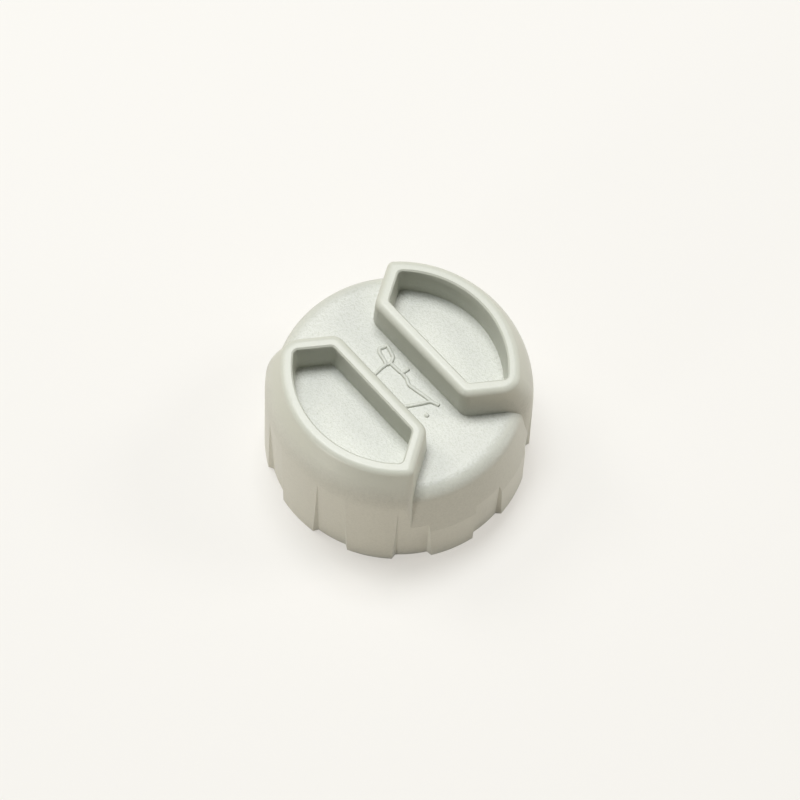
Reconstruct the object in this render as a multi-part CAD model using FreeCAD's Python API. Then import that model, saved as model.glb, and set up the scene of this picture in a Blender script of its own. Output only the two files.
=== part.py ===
"""Oil tank cap: one moulded cap body and the rubber sealing ring inside it.

Millimetres. The origin is the centre of the open rim, +Z runs out through the top,
and X runs along the channel between the two finger grips.
"""
import FreeCAD, Part
import math
import os

from FreeCAD import Vector

# Neck that the cap screws on, and the walls round it
neck_thread_diameter = 39.0
thread_clearance = 0.1
skirt_wall = 2.6
mouth_diameter = 39.8
mouth_depth = 2.6
mouth_chamfer = 0.6
top_wall = 3.0

# Outside of the skirt: ten drafted pads with shallow recesses between them
pad_count = 10
pad_height = 0.8
pad_angle = 18.0
pad_turn = 1.5
pad_draft = 2.8
pad_side_slope = 45.0
recess_draft = 0.4

# Domed top between the grips
top_height = 20.6
dome_break_height = 9.5
dome_wall_draft = 11.2
dome_edge_radius = 2.8

# The two finger grips, one each side of the channel
grip_height = 27.0
grip_shoulder_drop = 5.4
grip_shoulder_slope = 28.4
grip_shoulder_radius = 13.0
grip_rim_radius = 1.2
grip_soft_end_radius = 3.5
grip_crisp_end_radius = 1.2
grip_wall = 2.1
channel_width = 7.6
channel_wall_draft = 2.0
grip_straight_length = 23.0
grip_end_angle = 56.5
grip_soft_end_draft = 7.5
grip_crisp_end_draft = 3.5
grip_corner_radius = 2.3

# Hollow of each grip, open at the top
pocket_floor_wall = 3.5
pocket_rim_width = 1.7
pocket_draft = 3.0
pocket_corner_radius = 0.9
pocket_edge_chamfer = 0.25

# Sealing ring, and the rib inside the top that centres it
ring_side_clearance = 0.2
ring_width = 4.2
ring_thickness = 2.0
rib_clearance = 0.3
rib_wall = 1.5
rib_height = 3.4
rib_draft = 1.0

# Places that follow from the sizes above
bore_radius = neck_thread_diameter / 2 + thread_clearance
recess_radius = bore_radius + skirt_wall
pad_radius = recess_radius + pad_height
ceiling_height = top_height - top_wall
pocket_floor_height = ceiling_height + pocket_floor_wall
grip_shoulder_height = grip_height - grip_shoulder_drop
ring_outer_radius = bore_radius - ring_side_clearance
ring_inner_radius = ring_outer_radius - ring_width
rib_outer_radius = ring_inner_radius - rib_clearance

# How far a cutter runs past the face that it cuts, how far a plan runs past the
# outside, and how flat a level face or edge is
overrun = 1.0
beyond = 2 * pad_radius
flatness = 1e-4


def tangent(degrees):
    return math.tan(math.radians(degrees))


def leaning_in(radius, height, draft):
    """Radius of a drafted wall after it has risen by this height."""
    return radius - height * tangent(draft)


# Round side of the grips: where it turns in to the shoulder, and where it meets the rim
shoulder_radius = leaning_in(pad_radius, grip_shoulder_height, pad_draft)
rim_radius = leaning_in(shoulder_radius, grip_shoulder_drop, grip_shoulder_slope)


def rounded_outline(corners):
    """Closed wire in the XZ plane from (radius, height, rounding) corners."""
    points = [Vector(r, 0, z) for r, z, rounding in corners]
    edges = []
    starts = []
    ends = []
    for i, (r, z, rounding) in enumerate(corners):
        here = points[i]
        if rounding == 0:
            starts.append(here)
            ends.append(here)
            edges.append(None)
            continue
        back = (points[i - 1] - here).normalize()
        ahead = (points[(i + 1) % len(points)] - here).normalize()
        half = back.getAngle(ahead) / 2
        reach = rounding / math.tan(half)
        middle = (back + ahead).normalize()
        inner = here + middle * (rounding / math.sin(half) - rounding)
        starts.append(here + back * reach)
        ends.append(here + ahead * reach)
        edges.append(Part.Arc(starts[i], inner, ends[i]).toShape())
    path = []
    for i in range(len(points)):
        if edges[i]:
            path.append(edges[i])
        following = starts[(i + 1) % len(points)]
        path.append(Part.LineSegment(ends[i], following).toShape())
    return Part.Wire(path)


def turned(corners):
    """Solid of revolution about Z from (radius, height, rounding) corners."""
    face = Part.Face(rounded_outline(corners))
    return face.revolve(Vector(0, 0, 0), Vector(0, 0, 1), 360)


def grip_plan(side_in, crisp_in, soft_in):
    """Corners of a grip's plan without its round side, on the +Y side.

    The straight wall and the two slanted ends are moved in by these amounts from
    where they meet the domed top. The crisp end lies towards -X, the soft end +X.
    """
    angle = math.radians(grip_end_angle)
    side = channel_width / 2 + side_in
    crisp = grip_straight_length / 2 + (side_in * math.cos(angle) - crisp_in) / math.sin(angle)
    soft = grip_straight_length / 2 + (side_in * math.cos(angle) - soft_in) / math.sin(angle)
    run = beyond * math.cos(angle)
    far = side + beyond * math.sin(angle)
    return [(-crisp, side), (soft, side), (soft + run, far), (-crisp - run, far)]


def outside_plan(height):
    """Plan of the grip's outer walls at this height."""
    rise = height - top_height
    return grip_plan(rise * tangent(channel_wall_draft), rise * tangent(grip_crisp_end_draft),
                     rise * tangent(grip_soft_end_draft))


def pocket_plan(height):
    """Plan of the grip's hollow at this height."""
    rise = grip_height - top_height
    walls = grip_wall + (grip_height - height) * tangent(pocket_draft)
    return grip_plan(rise * tangent(channel_wall_draft) + walls,
                     rise * tangent(grip_crisp_end_draft) + walls,
                     rise * tangent(grip_soft_end_draft) + walls)


def drafted_wedge(plan, low, high):
    """Solid between two heights whose section at each one is given by the plan."""
    lower, upper = [[Vector(x, y, height) for x, y in plan(height)] for height in (low, high)]
    outlines = [lower[::-1], upper]
    for i in range(len(lower)):
        following = (i + 1) % len(lower)
        outlines.append([lower[i], lower[following], upper[following], upper[i]])
    faces = [Part.Face(Part.makePolygon(outline + outline[:1])) for outline in outlines]
    return Part.makeSolid(Part.makeShell(faces))


def upright_edges(shape):
    """Edges that climb the walls of a block, all but straight up."""
    found = []
    for edge in shape.Edges:
        first, last = edge.Vertexes[0].Point, edge.Vertexes[-1].Point
        rise = abs(last.z - first.z)
        run = math.hypot(last.x - first.x, last.y - first.y)
        if rise > run:
            found.append(edge)
    return found


def is_level(piece, height):
    """Whether an edge or a face lies in the plane at this height."""
    box = piece.BoundBox
    return abs(box.ZMin - height) < flatness and box.ZLength < flatness


def level_edges(shape, height):
    """Edges that lie in the plane at this height."""
    return [edge for edge in shape.Edges if is_level(edge, height)]


def mouth_edges(shape, height):
    """Edges of the hole in the flat face at this height."""
    face = [face for face in shape.Faces if is_level(face, height)][0]
    return [edge for wire in face.Wires if not wire.isSame(face.OuterWire) for edge in wire.Edges]


def near_side(edges, limit):
    """Of these edges, the ones whose middle is nearer to the channel than the limit."""
    return [e for e in edges if abs(e.CenterOfMass.y) < limit]


def make_dome():
    """Skirt and low domed top, as if turned from one bar."""
    break_radius = leaning_in(pad_radius, dome_break_height, pad_draft)
    edge_radius = leaning_in(break_radius, top_height - dome_break_height, dome_wall_draft)
    return turned([
        (0, 0, 0),
        (pad_radius, 0, 0),
        (break_radius, dome_break_height, 0),
        (edge_radius, top_height, dome_edge_radius),
        (0, top_height, 0),
    ])


def make_grip_blank():
    """Turned block that the round side of both grips is taken from."""
    low_radius = leaning_in(pad_radius, dome_break_height, pad_draft)
    return turned([
        (0, dome_break_height, 0),
        (low_radius, dome_break_height, 0),
        (shoulder_radius, grip_shoulder_height, grip_shoulder_radius),
        (rim_radius, grip_height, 0),
        (0, grip_height, 0),
    ])


def make_pocket():
    """Cutter for the hollow of a grip, wider at its mouth."""
    narrowing = (grip_height - pocket_floor_height) * tangent(pocket_draft)
    floor_radius = rim_radius - pocket_rim_width - narrowing
    above = grip_height + overrun
    blank = turned([
        (0, pocket_floor_height, 0),
        (floor_radius, pocket_floor_height, 0),
        (leaning_in(floor_radius, above - pocket_floor_height, -pocket_draft), above, 0),
        (0, above, 0),
    ])
    wedge = drafted_wedge(pocket_plan, pocket_floor_height, above)
    cutter = blank.common(wedge).Solids[0]
    return cutter.makeFillet(pocket_corner_radius, upright_edges(cutter))


def make_grip():
    """One hollow grip on the +Y side, down to where the dome leaves the pads' draft.

    Its crisp end has the sharper outer edge and the steeper wall.
    """
    wedge = drafted_wedge(outside_plan, dome_break_height - overrun, grip_height + overrun)
    corners = near_side(upright_edges(wedge), channel_width)
    wedge = wedge.makeFillet(grip_corner_radius, corners)
    grip = make_grip_blank().common(wedge).Solids[0]
    for radius, side in ((grip_soft_end_radius, 1), (grip_crisp_end_radius, -1)):
        outer = [edge for edge in upright_edges(grip) if edge.CenterOfMass.y > channel_width]
        end_edges = [edge for edge in outer if edge.CenterOfMass.x * side > 0]
        grip = grip.makeFillet(radius, end_edges)
    grip = grip.makeFillet(grip_rim_radius, level_edges(grip, grip_height))
    grip = grip.cut(make_pocket()).Solids[0]
    return grip.makeChamfer(pocket_edge_chamfer, mouth_edges(grip, grip_height))


def make_recess():
    """Cutter for the shallow recess centred on +X."""
    inner = leaning_in(recess_radius, top_height, recess_draft) - overrun
    outer = pad_radius + overrun
    half_floor = math.radians(360.0 / pad_count - pad_angle) / 2
    side = pad_radius * math.sin(half_floor)
    slope = tangent(pad_side_slope)
    plan = [
        (inner, side - (pad_radius - inner) * slope),
        (outer, side + (outer - pad_radius) * slope),
    ]
    plan += [(x, -y) for x, y in reversed(plan)]
    corners = [Vector(x, y, -overrun) for x, y in plan]
    prism = Part.Face(Part.makePolygon(corners + corners[:1])).extrude(Vector(0, 0, top_height))
    low = -2 * overrun
    high = top_height + overrun
    floor_blank = turned([
        (0, low, 0),
        (leaning_in(recess_radius, low, recess_draft), low, 0),
        (leaning_in(recess_radius, high, recess_draft), high, 0),
        (0, high, 0),
    ])
    return prism.cut(floor_blank).Solids[0]


def make_inside():
    """Cutter for the mouth and the threaded bore, up to the ceiling."""
    mouth_radius = mouth_diameter / 2
    return turned([
        (0, -overrun, 0),
        (mouth_radius + mouth_chamfer + overrun, -overrun, 0),
        (mouth_radius, mouth_chamfer, 0),
        (mouth_radius, mouth_depth, 0),
        (bore_radius, mouth_depth + mouth_radius - bore_radius, 0),
        (bore_radius, ceiling_height, 0),
        (0, ceiling_height, 0),
    ])


def make_rib():
    """Ring-shaped rib that hangs from the ceiling and centres the sealing ring."""
    low = ceiling_height - rib_height
    narrowing = rib_height * tangent(rib_draft)
    inner_radius = rib_outer_radius - rib_wall
    return turned([
        (inner_radius + narrowing, low, 0),
        (rib_outer_radius, low, 0),
        (rib_outer_radius, ceiling_height + overrun, 0),
        (inner_radius, ceiling_height + overrun, 0),
        (inner_radius, ceiling_height, 0),
    ])


def make_cap_body():
    body = make_dome()
    grip = make_grip()
    body = body.fuse([grip, grip.rotated(Vector(0, 0, 0), Vector(0, 0, 1), 180)])
    recess = make_recess()
    step = 360.0 / pad_count
    cutters = [recess.rotated(Vector(0, 0, 0), Vector(0, 0, 1), pad_turn + step * i)
               for i in range(pad_count)]
    body = body.cut(cutters)
    body = body.cut(make_inside())
    body = body.fuse(make_rib())
    return body.removeSplitter().Solids[0]


def make_sealing_ring():
    low = ceiling_height - ring_thickness
    return turned([
        (ring_inner_radius, low, 0),
        (ring_outer_radius, low, 0),
        (ring_outer_radius, ceiling_height, 0),
        (ring_inner_radius, ceiling_height, 0),
    ])


os.makedirs("parts", exist_ok=True)
make_cap_body().exportStep("parts/cap_body.step")
make_sealing_ring().exportStep("parts/sealing_ring.step")
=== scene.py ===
import bpy
import math
from mathutils import Matrix, Vector


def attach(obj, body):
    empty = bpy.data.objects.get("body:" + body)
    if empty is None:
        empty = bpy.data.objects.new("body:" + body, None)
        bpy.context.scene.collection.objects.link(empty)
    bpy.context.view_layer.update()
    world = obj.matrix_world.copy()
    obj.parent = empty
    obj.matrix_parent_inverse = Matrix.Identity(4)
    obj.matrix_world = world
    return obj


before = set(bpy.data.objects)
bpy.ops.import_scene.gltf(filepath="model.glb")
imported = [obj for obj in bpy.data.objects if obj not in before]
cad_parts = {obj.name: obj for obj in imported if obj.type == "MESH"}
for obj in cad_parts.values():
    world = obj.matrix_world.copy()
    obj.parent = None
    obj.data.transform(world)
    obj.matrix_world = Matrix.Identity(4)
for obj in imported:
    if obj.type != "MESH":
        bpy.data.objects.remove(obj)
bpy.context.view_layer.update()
millimetre = 0.001


# camera, at the photograph's viewing angle; angles in degrees, lengths in metres
cameraView = {
    "azimuth": 46.74,        # from the front, towards the right
    "elevation": 64.0,
    "roll": 2.86,
    "distance": 0.29963,
    "aimHeight": 0.00805,
    "slideRight": 0.000339,
    "slideUp": 0.00253,
    "lens": 79.4,            # focal length in millimetres
    "clipStart": 0.01,
}


def placeCamera(view):
    azimuth = math.radians(view["azimuth"])
    elevation = math.radians(view["elevation"])
    roll = math.radians(view["roll"])
    back = Vector((math.sin(azimuth) * math.cos(elevation),
                   -math.cos(azimuth) * math.cos(elevation),
                   math.sin(elevation)))
    level = Vector((math.cos(azimuth), math.sin(azimuth), 0))
    upright = back.cross(level)
    right = level * math.cos(roll) + upright * math.sin(roll)
    up = upright * math.cos(roll) - level * math.sin(roll)
    place = Vector((0, 0, view["aimHeight"])) + back * view["distance"]
    place += right * view["slideRight"] + up * view["slideUp"]
    bpy.ops.object.camera_add(location=place)
    camera = bpy.context.object
    camera.name = "photoCamera"
    camera.rotation_euler = Matrix((right, up, back)).transposed().to_euler()
    camera.data.lens = view["lens"]
    camera.data.clip_start = view["clipStart"]
    bpy.context.scene.camera = camera


placeCamera(cameraView)
print("camera placed")


# helpers for shader nodes
mixSockets = {"FLOAT": (2, 3, 0), "RGBA": (6, 7, 2)}      # first input, second input, result


def feed(tree, socket, value):
    if isinstance(value, bpy.types.NodeSocket):
        tree.links.new(value, socket)
    else:
        socket.default_value = value


def addMath(tree, operation, *terms, clamp=False):
    node = tree.nodes.new("ShaderNodeMath")
    node.operation = operation
    node.use_clamp = clamp
    for socket, term in zip(node.inputs, terms):
        feed(tree, socket, term)
    return node.outputs[0]


def addMix(tree, kind, factor, first, second):
    node = tree.nodes.new("ShaderNodeMix")
    node.data_type = kind
    firstInput, secondInput, result = mixSockets[kind]
    feed(tree, node.inputs[0], factor)
    feed(tree, node.inputs[firstInput], first)
    feed(tree, node.inputs[secondInput], second)
    return node.outputs[result]


def addSmoothRange(tree, value, fromMin, fromMax, toMin, toMax):
    node = tree.nodes.new("ShaderNodeMapRange")
    node.interpolation_type = "SMOOTHSTEP"
    terms = {"Value": value, "From Min": fromMin, "From Max": fromMax,
             "To Min": toMin, "To Max": toMax}
    for name, term in terms.items():
        feed(tree, node.inputs[name], term)
    return node.outputs["Result"]


def addNoise(tree, place, scale, detail, roughness):
    node = tree.nodes.new("ShaderNodeTexNoise")
    terms = {"Vector": place, "Scale": scale, "Detail": detail, "Roughness": roughness}
    for name, term in terms.items():
        feed(tree, node.inputs[name], term)
    return node.outputs["Fac"]


def takeZ(tree, vector):
    node = tree.nodes.new("ShaderNodeSeparateXYZ")
    feed(tree, node.inputs[0], vector)
    return node.outputs["Z"]


# 1 for rays from the camera, reflected or passed on too, and 0 for light that bounces
def addSeenMask(tree):
    rays = tree.nodes.new("ShaderNodeLightPath").outputs
    seen = addMath(tree, "MAXIMUM", rays["Is Camera Ray"], rays["Is Glossy Ray"])
    return addMath(tree, "MAXIMUM", seen, rays["Is Transmission Ray"])


# floor and surroundings
studio = {
    "floorSize": 3.0,
    "floorSeen": (0.345, 0.347, 0.337, 1),      # part of the floor that takes the shadow
    "floorLift": (0.515, 0.495, 0.462, 1),      # part that stays pale in the shadow
    "floorGlow": (0.88, 0.76, 0.62, 1),         # what lights the cap from below
    "floorRoughness": 0.8,
    "worldColor": (0.94, 0.95, 0.94, 1),
    "worldStrength": 0.02,                      # strength that lights the cap
    "worldSeen": 0.9,                           # strength that the camera and sheen see
}


def makeFloor(values):
    bpy.ops.object.select_all(action="DESELECT")
    bpy.ops.mesh.primitive_plane_add(size=values["floorSize"])
    floor = bpy.context.object
    floor.name = "paleFloor"
    material = bpy.data.materials.new("paleTable")
    material.use_nodes = True
    tree = material.node_tree
    shader = tree.nodes["Principled BSDF"].inputs
    seen = addSeenMask(tree)
    shade = addMix(tree, "RGBA", seen, values["floorGlow"], values["floorSeen"])
    feed(tree, shader["Base Color"], shade)
    feed(tree, shader["Roughness"], values["floorRoughness"])
    feed(tree, shader["Emission Color"], values["floorLift"])
    feed(tree, shader["Emission Strength"], seen)
    floor.data.materials.append(material)


def makeWorld(values):
    world = bpy.data.worlds.new("softStudio")
    world.use_nodes = True
    tree = world.node_tree
    backdrop = tree.nodes["Background"].inputs
    seen = addSeenMask(tree)
    strength = addMix(tree, "FLOAT", seen, values["worldStrength"], values["worldSeen"])
    feed(tree, backdrop["Color"], values["worldColor"])
    feed(tree, backdrop["Strength"], strength)
    bpy.context.scene.world = world


# lamps, in metres and watts, each aimed at the middle of the cap's base
lamps = {
    "topLight": {
        "place": (-0.285, -0.02, 1.062), "size": 0.3,
        "power": 5.2, "color": (0.95, 0.98, 1.0),
    },
    "sheenLight": {
        "place": (-0.248, 0.231, 1.046), "size": 0.3,
        "power": 5.2, "color": (0.98, 0.98, 1.0),
    },
    "sideLight": {
        "place": (-0.700, -0.180, 0.830), "size": 0.4,
        "power": 2.9, "color": (1.0, 0.96, 0.90),
    },
    "backFill": {
        "place": (0.421, 0.730, 0.707), "size": 0.3,
        "power": 2.3, "color": (1.0, 0.95, 0.88),
    },
    "frontFill": {
        "place": (0, -1.094, 0.115), "size": 0.2,
        "power": 3.05, "color": (1.0, 0.97, 0.94),
    },
    "rightFill": {
        "place": (0.774, 0.774, 0.115), "size": 0.2,
        "power": 1.55, "color": (0.95, 0.97, 1.0),
    },
}


def makeLamps(values):
    for name, lamp in values.items():
        bpy.ops.object.light_add(type="AREA", location=lamp["place"])
        light = bpy.context.object
        light.name = name
        light.data.size = lamp["size"]
        light.data.energy = lamp["power"]
        light.data.color = lamp["color"]
        light.rotation_euler = Vector(lamp["place"]).to_track_quat("Z", "Y").to_euler()


makeFloor(studio)
makeWorld(studio)
makeLamps(lamps)
bpy.context.scene.view_settings.view_transform = "Standard"
print("studio set")


# spark-eroded grain of the mould, and a painted sheen that makes level faces paler and whiter,
# shared by the plastic and the rubber
sparkGrain = {
    "pitDetail": 1.0,
    "pitRoughness": 0.6,
    "groupScale": 0.45,      # scale of the groups of pits, as a share of the pits' scale
    "groupDetail": 1.0,
    "groupRoughness": 0.5,
    "wallNormal": 0.90,      # upward part of the normal, up to which a face is a wall
    "levelNormal": 0.985,    # and from which it is level
    "rimShare": 0.3,         # share of the grain and of the painted sheen that is left on the high rims
    "meanHeight": 1.0,       # mean of both noises added up
    "meanMask": 0.7,         # share of the pale colour at the mean height
    "dulling": 0.25,         # roughness that height adds
}


def makeGrainGroup(values):
    group = bpy.data.node_groups.new("sparkGrain", "ShaderNodeTree")
    sockets = (
        ("INPUT", "NodeSocketColor", ("Color", "Painted Sheen Color", "Shade Color")),
        ("INPUT", "NodeSocketFloat", ("Grain Scale", "Speckle", "Wall Share",
                                      "Smooth From", "Smooth To", "Roughness")),
        ("OUTPUT", "NodeSocketColor", ("Color",)),
        ("OUTPUT", "NodeSocketFloat", ("Height", "Roughness")),
    )
    for side, kind, names in sockets:
        for name in names:
            group.interface.new_socket(name, in_out=side, socket_type=kind)
    given = group.nodes.new("NodeGroupInput").outputs
    result = group.nodes.new("NodeGroupOutput").inputs
    place = group.nodes.new("ShaderNodeTexCoord").outputs

    pits = addNoise(group, place["Object"], given["Grain Scale"],
                    values["pitDetail"], values["pitRoughness"])
    groupScale = addMath(group, "MULTIPLY", given["Grain Scale"], values["groupScale"])
    pitGroups = addNoise(group, place["Object"], groupScale,
                         values["groupDetail"], values["groupRoughness"])
    height = addMath(group, "ADD", pits, pitGroups)

    # the grain is bolder on level faces, and fades on the high rims; the same share paints the
    # level faces paler and whiter, a painted sheen
    flat = addSmoothRange(group, takeZ(group, place["Normal"]),
                          values["wallNormal"], values["levelNormal"], given["Wall Share"], 1.0)
    fade = addSmoothRange(group, takeZ(group, place["Object"]),
                          given["Smooth From"], given["Smooth To"], 1.0, values["rimShare"])
    share = addMath(group, "MULTIPLY", flat, fade)
    centred = addMath(group, "SUBTRACT", height, values["meanHeight"])
    weighted = addMath(group, "MULTIPLY", centred, share)

    # painted sheen: level faces take the paler, whiter colour by the same share
    paintedSheenTint = addMix(group, "RGBA", share, given["Color"], given["Painted Sheen Color"])
    mask = addMath(group, "MULTIPLY_ADD", weighted, given["Speckle"], values["meanMask"],
                   clamp=True)
    tint = addMix(group, "RGBA", mask, given["Shade Color"], paintedSheenTint)
    dulled = addMath(group, "MULTIPLY_ADD", weighted, values["dulling"], given["Roughness"],
                     clamp=True)
    feed(group, result["Color"], tint)
    feed(group, result["Height"], weighted)
    feed(group, result["Roughness"], dulled)
    return group


grainGroup = makeGrainGroup(sparkGrain)


def makeGrainedMaterial(name, values):
    material = bpy.data.materials.new(name)
    material.use_nodes = True
    tree = material.node_tree
    shader = tree.nodes["Principled BSDF"].inputs
    grain = tree.nodes.new("ShaderNodeGroup")
    grain.node_tree = grainGroup
    settings = {
        "Color": values["color"],
        "Painted Sheen Color": values["paintedSheenColor"],
        "Shade Color": values["shadeColor"],
        "Grain Scale": 1 / (values["grain"] * millimetre),
        "Speckle": values["speckle"],
        "Wall Share": values["wallShare"],
        "Smooth From": values["smoothFrom"] * millimetre,
        "Smooth To": values["smoothTo"] * millimetre,
        "Roughness": values["roughness"],
    }
    for socket, value in settings.items():
        feed(tree, grain.inputs[socket], value)
    bump = tree.nodes.new("ShaderNodeBump")
    feed(tree, bump.inputs["Distance"], values["depth"] * millimetre)
    feed(tree, bump.inputs["Height"], grain.outputs["Height"])
    feed(tree, shader["Normal"], bump.outputs["Normal"])
    feed(tree, shader["Base Color"], grain.outputs["Color"])
    feed(tree, shader["Roughness"], grain.outputs["Roughness"])
    feed(tree, shader["Specular IOR Level"], values["specular"])
    return material


def coverWith(piece, material):
    piece.data.materials.clear()
    piece.data.materials.append(material)


# cap body, pale grey-green moulded plastic; lengths in millimetres from here on
capPlastic = {
    "color": (0.557, 0.567, 0.477, 1),
    "paintedSheenColor": (0.586, 0.598, 0.546, 1),     # painted sheen, paler and whiter on the level grained faces
    "shadeColor": (0.512, 0.526, 0.461, 1),     # in the pits
    "grain": 0.22,           # width of a pit and its gap
    "depth": 0.055,
    "speckle": 2.5,
    "wallShare": 0.6,        # share of the grain and of the painted sheen on walls
    "smoothFrom": 22.0,      # height where the grain starts to fade
    "smoothTo": 25.0,
    "roughness": 0.40,
    "specular": 0.5,
}

capMaterial = makeGrainedMaterial("capPlastic", capPlastic)
coverWith(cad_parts["cap_body"], capMaterial)
print("cap finished")


# sealing ring, black rubber
sealRubber = {
    "color": (0.035, 0.035, 0.036, 1),
    # painted sheen, paler on the level grained faces
    "paintedSheenColor": (0.045, 0.045, 0.046, 1),
    "shadeColor": (0.018, 0.018, 0.019, 1),
    "grain": 0.35,
    "depth": 0.03,
    "speckle": 1.5,
    "wallShare": 0.7,
    "smoothFrom": 22.0,
    "smoothTo": 25.0,
    "roughness": 0.6,
    "specular": 0.4,
}

sealMaterial = makeGrainedMaterial("sealRubber", sealRubber)
coverWith(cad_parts["sealing_ring"], sealMaterial)
print("seal finished")


# helpers for modelling
crispAngle = 40.0            # degrees between two faces from which their edge stays sharp


def selectVertices(piece, wanted):
    bpy.ops.object.mode_set(mode="EDIT")
    bpy.ops.mesh.select_mode(type="VERT")
    bpy.ops.mesh.select_all(action="DESELECT")
    bpy.ops.object.mode_set(mode="OBJECT")
    for vertex in piece.data.vertices:
        vertex.select = wanted(vertex)
    bpy.ops.object.mode_set(mode="EDIT")


def finishPiece(piece, material):
    bpy.ops.object.mode_set(mode="OBJECT")
    bpy.ops.object.select_all(action="DESELECT")
    piece.select_set(True)
    bpy.context.view_layer.objects.active = piece
    bpy.ops.object.transform_apply(location=True, rotation=True, scale=True)
    bpy.ops.object.shade_smooth_by_angle(angle=math.radians(crispAngle))
    coverWith(piece, material)
    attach(piece, "root")


# screw thread inside the skirt, one ridge that runs round the bore
thread = {
    "rootRadius": 19.6,
    "sink": 0.12,            # how far its back lies in the wall
    "depth": 1.15,
    "rootWidth": 2.3,
    "crestWidth": 1.0,
    "pitch": 4.0,
    "turns": 2.2,
    "start": 4.6,            # height of the first turn's middle
    "stepsPerTurn": 96,
    "runIn": 14,             # steps over which each end rises from the wall
    "tip": 0.12,             # share of the profile left at the very end
    "bevel": 0.18,
    "bevelCuts": 2,
}


def makeThread(values):
    back = (values["rootRadius"] + values["sink"]) * millimetre
    reach = (values["depth"] + values["sink"]) * millimetre
    start = values["start"] * millimetre
    bpy.ops.object.select_all(action="DESELECT")
    bpy.ops.mesh.primitive_plane_add(size=1, location=(back - reach / 2, 0, start),
                                     rotation=(math.radians(90), 0, 0))
    ridge = bpy.context.object
    ridge.name = "screw_thread"
    ridge.scale = (reach, values["rootWidth"] * millimetre, 1)
    bpy.ops.object.transform_apply(location=True, rotation=True, scale=True)
    selectVertices(ridge, lambda vertex: vertex.co.x < back - reach / 2)
    bpy.ops.transform.resize(value=(1, 1, values["crestWidth"] / values["rootWidth"]),
                             center_override=(0, 0, start))
    bpy.ops.mesh.bevel(offset=values["bevel"] * millimetre, segments=values["bevelCuts"],
                       affect="VERTICES")
    bpy.ops.mesh.select_all(action="SELECT")
    bpy.ops.mesh.delete(type="ONLY_FACE")
    bpy.ops.object.mode_set(mode="OBJECT")
    ringSize = len(ridge.data.vertices)
    screw = ridge.modifiers.new("screwTurns", "SCREW")
    screw.axis = "Z"
    screw.angle = 2 * math.pi * values["turns"]
    screw.screw_offset = values["pitch"] * values["turns"] * millimetre
    screw.steps = round(values["stepsPerTurn"] * values["turns"]) + 1
    screw.render_steps = screw.steps
    screw.use_merge_vertices = False
    bpy.ops.object.modifier_apply(modifier=screw.name)

    # both ends rise out of the wall, and are closed
    lastRing = len(ridge.data.vertices) // ringSize - 1
    for step in range(values["runIn"]):
        rise = math.sin(math.pi / 2 * step / values["runIn"])
        share = values["tip"] + (1 - values["tip"]) * rise
        for ring in (step, lastRing - step):
            members = range(ring * ringSize, (ring + 1) * ringSize)
            points = [ridge.data.vertices[index].co for index in members]
            middle = sum(points, Vector()) / ringSize
            root = middle * (back / math.hypot(middle.x, middle.y))
            root.z = middle.z
            selectVertices(ridge, lambda vertex: vertex.index in members)
            bpy.ops.transform.resize(value=(share, share, share), center_override=root)
            if step == 0:
                bpy.ops.mesh.edge_face_add()
            bpy.ops.object.mode_set(mode="OBJECT")
    bpy.ops.object.mode_set(mode="EDIT")
    bpy.ops.mesh.select_all(action="SELECT")
    bpy.ops.mesh.normals_make_consistent(inside=False)
    return ridge


threadRidge = makeThread(thread)
finishPiece(threadRidge, capMaterial)
print("thread finished")


# raised oil can with its drop, in the channel, as points of the plan
oilSymbol = {
    "floorHeight": 20.6,
    "lineRadius": 0.38,      # half of each line lies in the floor
    "lineHeight": 0.36,      # above the floor
    "mergeDistance": 0.01,   # joins the strokes where they meet
    "cornerCuts": 6,         # points added between corners, which keep them crisp
    "roundLevels": 2,
    "strokes": {
        "handle": [(-3.5, 1.1), (-4.1, 2.15), (-6.3, 2.8), (-6.77, 1.38), (-6.16, 0.93),
                   (-4.26, 0.57), (-3.83, 0.3)],
        "body": [(-3.5, 1.1), (-3.83, 0.3), (-3.84, -0.5), (-3.6, -2.9), (3.4, -2.9),
                 (4.14, -2.02), (6.1, 1.58)],
        "top": [(-3.5, 1.1), (-2.8, 1.08), (-0.87, 1.25), (0.33, 1.27), (1.43, 0.75),
                (5.38, 1.53), (6.1, 1.58), (7.5, 2.16)],
        "filler": [(-0.9, 1.0), (-0.87, 1.25), (-0.84, 2.8)],
    },
    "drop": (7.45, -0.6),
    "dropRadius": 0.4,
    "dropHeight": 0.3,
    "dropSegments": 32,
    "dropRings": 16,
}


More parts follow.
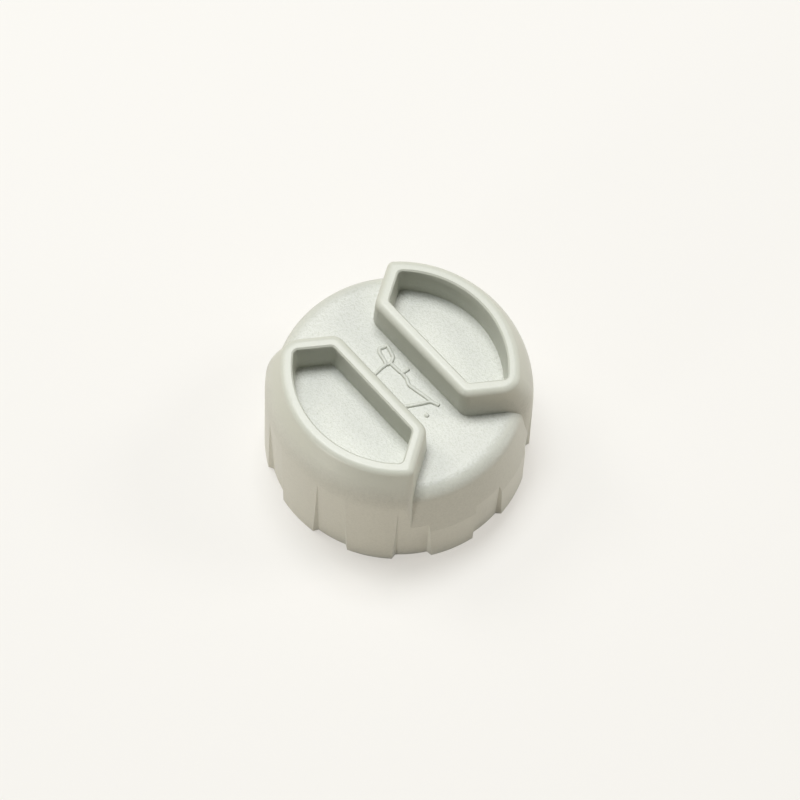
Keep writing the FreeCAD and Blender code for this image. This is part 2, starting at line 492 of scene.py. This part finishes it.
def makeStroke(points):
    bpy.ops.object.select_all(action="DESELECT")
    bpy.ops.mesh.primitive_plane_add(size=1, location=(0, 0, 0))
    bpy.ops.object.mode_set(mode="EDIT")
    bpy.ops.mesh.merge(type="CENTER")
    bpy.ops.transform.translate(value=(*points[0], 0))
    for before, after in zip(points, points[1:]):
        step = (after[0] - before[0], after[1] - before[1], 0)
        bpy.ops.mesh.extrude_region_move(TRANSFORM_OT_translate={"value": step})
    bpy.ops.object.mode_set(mode="OBJECT")
    return bpy.context.object


def makeSymbol(values):
    strokes = [makeStroke(points) for points in values["strokes"].values()]
    bpy.ops.object.select_all(action="DESELECT")
    for stroke in strokes:
        stroke.select_set(True)
    bpy.context.view_layer.objects.active = strokes[0]
    bpy.ops.object.join()
    symbol = bpy.context.object
    symbol.name = "oil_symbol"
    bpy.ops.object.mode_set(mode="EDIT")
    bpy.ops.mesh.select_all(action="SELECT")
    bpy.ops.mesh.remove_doubles(threshold=values["mergeDistance"])
    bpy.ops.mesh.subdivide(number_cuts=values["cornerCuts"])
    bpy.ops.object.mode_set(mode="OBJECT")
    bpy.ops.object.modifier_add(type="SKIN")
    for point in symbol.data.skin_vertices[0].data:
        point.radius = (values["lineRadius"], values["lineRadius"])
    bpy.ops.object.modifier_apply(modifier=symbol.modifiers[0].name)
    rounded = symbol.modifiers.new("rounded", "SUBSURF")
    rounded.levels = rounded.render_levels = values["roundLevels"]
    bpy.ops.object.modifier_apply(modifier=rounded.name)
    bpy.ops.object.mode_set(mode="EDIT")
    bpy.ops.mesh.select_all(action="SELECT")
    bpy.ops.transform.resize(value=(1, 1, values["lineHeight"] / values["lineRadius"]),
                             center_override=(0, 0, 0))
    bpy.ops.object.mode_set(mode="OBJECT")

    bpy.ops.object.select_all(action="DESELECT")
    bpy.ops.mesh.primitive_uv_sphere_add(segments=values["dropSegments"],
                                         ring_count=values["dropRings"], radius=1,
                                         location=(*values["drop"], 0))
    drop = bpy.context.object
    drop.scale = (values["dropRadius"], values["dropRadius"], values["dropHeight"])
    symbol.select_set(True)
    bpy.context.view_layer.objects.active = symbol
    bpy.ops.object.join()
    symbol.location.z = values["floorHeight"] * millimetre
    symbol.scale = (millimetre, millimetre, millimetre)
    return symbol


symbolRidge = makeSymbol(oilSymbol)
finishPiece(symbolRidge, capMaterial)
print("oil symbol finished, faces", len(symbolRidge.data.polygons))
